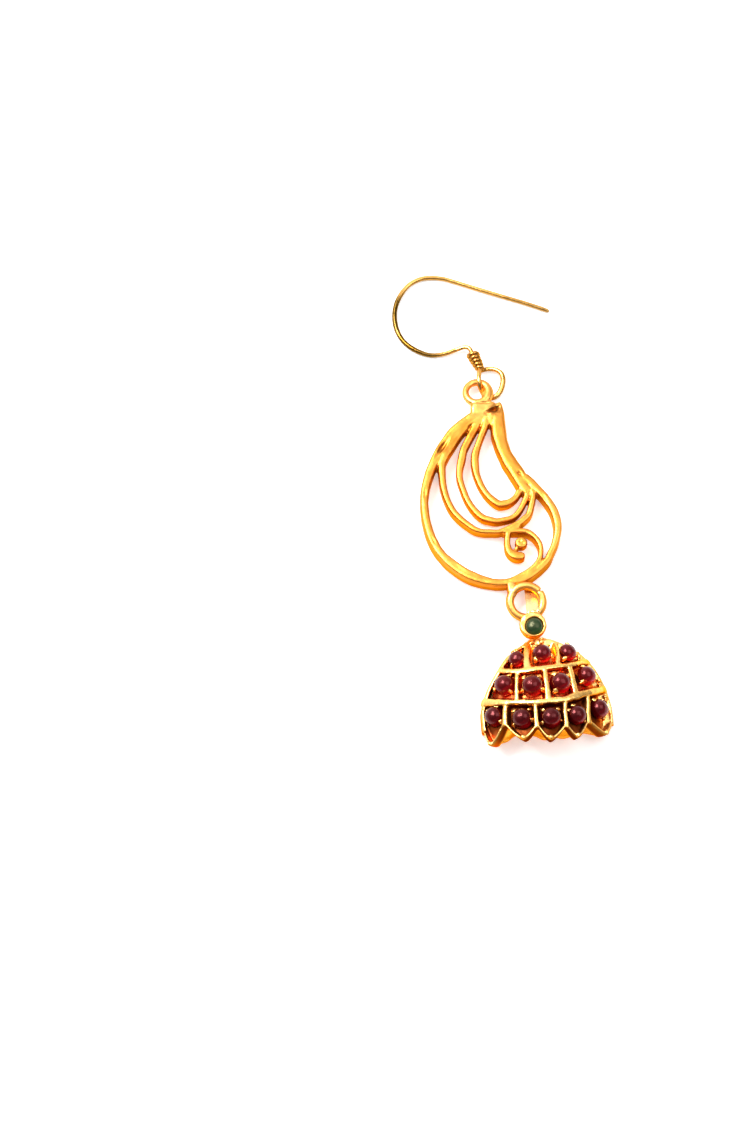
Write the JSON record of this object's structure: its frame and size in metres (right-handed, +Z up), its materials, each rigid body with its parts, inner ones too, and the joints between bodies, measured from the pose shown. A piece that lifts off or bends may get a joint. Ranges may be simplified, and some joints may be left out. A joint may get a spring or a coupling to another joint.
{
  "type": "drop earring with ear hook",
  "caption": "Fish-hook drop earring: openwork paisley casting, ring link, and a half-dome drop with scalloped foot, set with red cabochons below a green cabochon.",
  "frame": {"origin": "middle of the earring's outline seen from above, on the surface that it lies on", "axes": "+Y along the earring towards its ear hook, +X to the right seen from its front, +Z up out of the surface, which its back lies on"},
  "size_m": [0.0302, 0.0731, 0.0067],
  "materials": {
    "gold": "polished gilt casting with soft hand-worked edges, darker in its recesses",
    "hook_gold": "polished gilt wire",
    "red_stone": "polished deep garnet-red cabochon",
    "green_stone": "polished dark green cabochon"
  },
  "bodies": {
    "root": {"ear_hook": "hook_gold", "paisley_frame": "gold", "drop_frame": "gold", "green_stone": "green_stone", "red_stone_01": "red_stone", "red_stone_02": "red_stone", "red_stone_03": "red_stone", "red_stone_04": "red_stone", "red_stone_05": "red_stone", "red_stone_06": "red_stone", "red_stone_07": "red_stone", "red_stone_08": "red_stone", "red_stone_09": "red_stone", "red_stone_10": "red_stone", "red_stone_11": "red_stone", "red_stone_12": "red_stone"}
  },
  "joints": []
}
